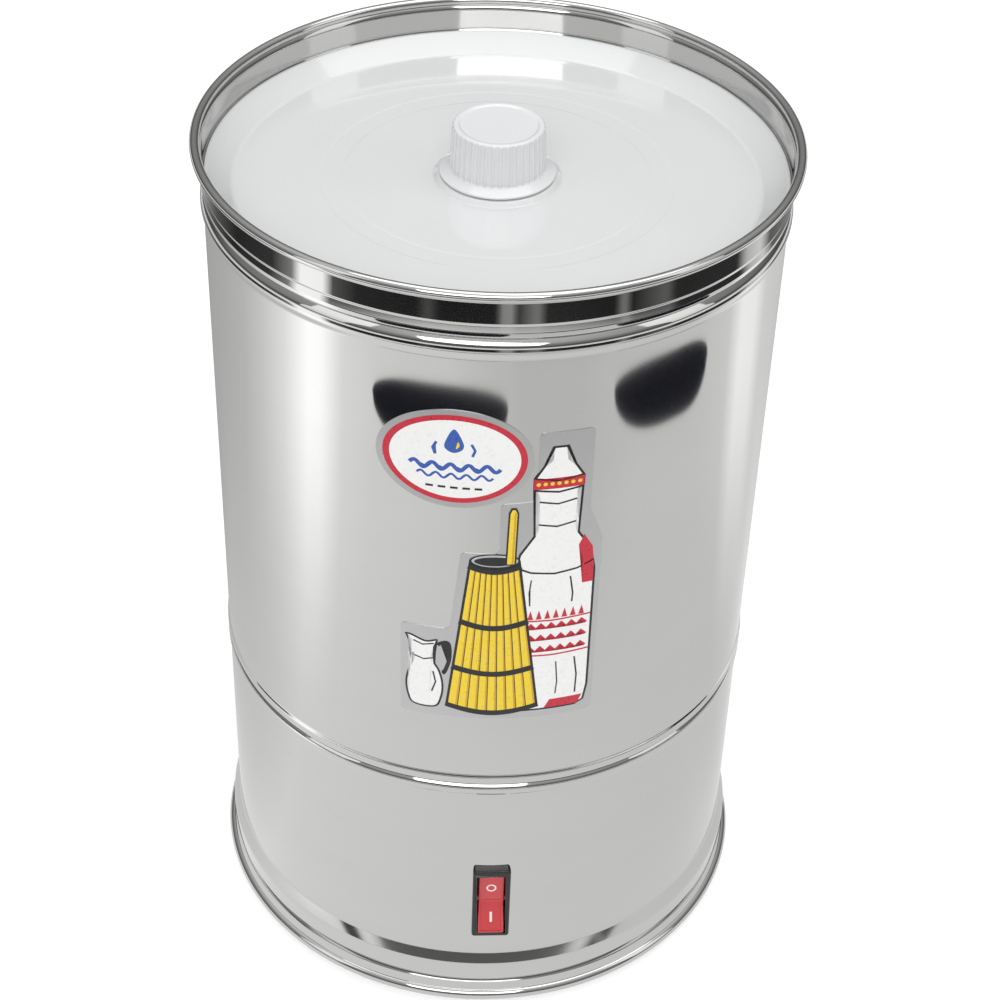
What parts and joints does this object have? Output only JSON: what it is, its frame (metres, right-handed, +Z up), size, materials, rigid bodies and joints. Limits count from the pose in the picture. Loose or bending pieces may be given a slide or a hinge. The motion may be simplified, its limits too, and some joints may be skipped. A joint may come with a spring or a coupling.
{
  "type": "butter churn",
  "caption": "Electric butter churn: mirror-polished steel drum casing with a motor base, inner pot with agitator, white lid with a ribbed screw cap, and a rocker switch.",
  "frame": {"origin": "on the floor under the feet, on the churn's axis", "axes": "+Z up along the drive shaft; the switch faces -Y and the cord gland faces +Y"},
  "size_m": [0.2234, 0.2245, 0.3496],
  "materials": {
    "mirror_steel": "mirror polished stainless sheet",
    "white_plastic": "glossy white moulding",
    "seal_rubber": "matt black",
    "cap_liner": "soft pale grey",
    "switch_black": "satin black moulding",
    "rocker_red": "translucent red",
    "contact_brass": "plain",
    "gland_nylon": "satin black nylon",
    "label_film": "printed film",
    "zinc_steel": "zinc plated",
    "core_steel": "varnished laminations",
    "copper": "enamelled copper wire",
    "bell_alloy": "die cast",
    "bearing_steel": "ground",
    "fan_plastic": "moulded nylon",
    "bronze": "sintered bush",
    "can_plastic": "moulded can",
    "block_plastic": "pale nylon",
    "lead_skin": "insulated wire"
  },
  "bodies": {
    "casing": {"upper_casing": "mirror_steel", "lower_casing": "mirror_steel", "churn_pot": "mirror_steel", "switch_housing": "switch_black", "switch_terminals": "contact_brass", "cord_gland": "gland_nylon", "cord_gland_nut": "gland_nylon", "badge_label": "label_film", "picture_label": "label_film", "bottom_plate": "zinc_steel", "feet": "seal_rubber", "foot_screws": "zinc_steel", "foot_nuts": "zinc_steel", "base_brackets": "zinc_steel", "base_screws": "zinc_steel", "motor_mount_plate": "zinc_steel", "mount_dampers": "seal_rubber", "mount_bolts": "zinc_steel", "mount_nuts": "zinc_steel", "stator_core": "core_steel", "stator_windings": "copper", "upper_end_bell": "bell_alloy", "lower_end_bell": "bell_alloy", "tie_bolts": "zinc_steel", "tie_nuts": "zinc_steel", "upper_bearing_outer_race": "bearing_steel", "upper_bearing_balls": "bearing_steel", "lower_bearing_outer_race": "bearing_steel", "lower_bearing_balls": "bearing_steel", "seal_housing": "mirror_steel", "shaft_bush": "bronze", "shaft_seal": "seal_rubber", "housing_gasket": "seal_rubber", "housing_nut": "zinc_steel", "pot_cushion_ring": "seal_rubber", "run_capacitor": "can_plastic", "capacitor_nut": "zinc_steel", "terminal_block": "block_plastic", "block_screws": "zinc_steel", "switch_leads": "lead_skin", "motor_leads": "lead_skin", "capacitor_leads": "lead_skin"},
    "lid": {"lid": "white_plastic"},
    "cap_carrier": {"cap_washer": "cap_liner"},
    "cap": {"filler_cap": "white_plastic"},
    "rocker": {"switch_rocker": "rocker_red"},
    "drive": {"rotor_core": "core_steel", "cooling_fan": "fan_plastic", "motor_shaft": "bearing_steel", "upper_bearing_inner_race": "bearing_steel", "lower_bearing_inner_race": "bearing_steel", "agitator_spacer": "mirror_steel", "agitator": "mirror_steel", "agitator_nut": "mirror_steel"}
  },
  "joints": [
    {"name": "lid_lift", "type": "slide", "parent": "casing", "child": "lid", "axis": [0, 0, 1], "range_m": [0, 0.12]},
    {"name": "cap_lift", "type": "slide", "parent": "lid", "child": "cap_carrier", "axis": [0, 0, 1], "range_m": [0, 0.006]},
    {"name": "cap_turn", "type": "hinge", "parent": "cap_carrier", "child": "cap", "pos_m": [0, 0, 0.33], "axis": [0, 0, 1], "range_deg": [0, 720]},
    {"name": "rocker_press", "type": "hinge", "parent": "casing", "child": "rocker", "pos_m": [0, -0.1042, 0.05875], "axis": [1, 0, 0], "range_deg": [0, 18]},
    {"name": "drive_spin", "type": "hinge", "parent": "casing", "child": "drive", "pos_m": [0, 0, 0.1], "axis": [0, 0, 1], "continuous": true}
  ],
  "couplings": [
    {"joint": "cap_lift", "follows": "cap_turn", "m_per_rad": 0.00047746}
  ]
}
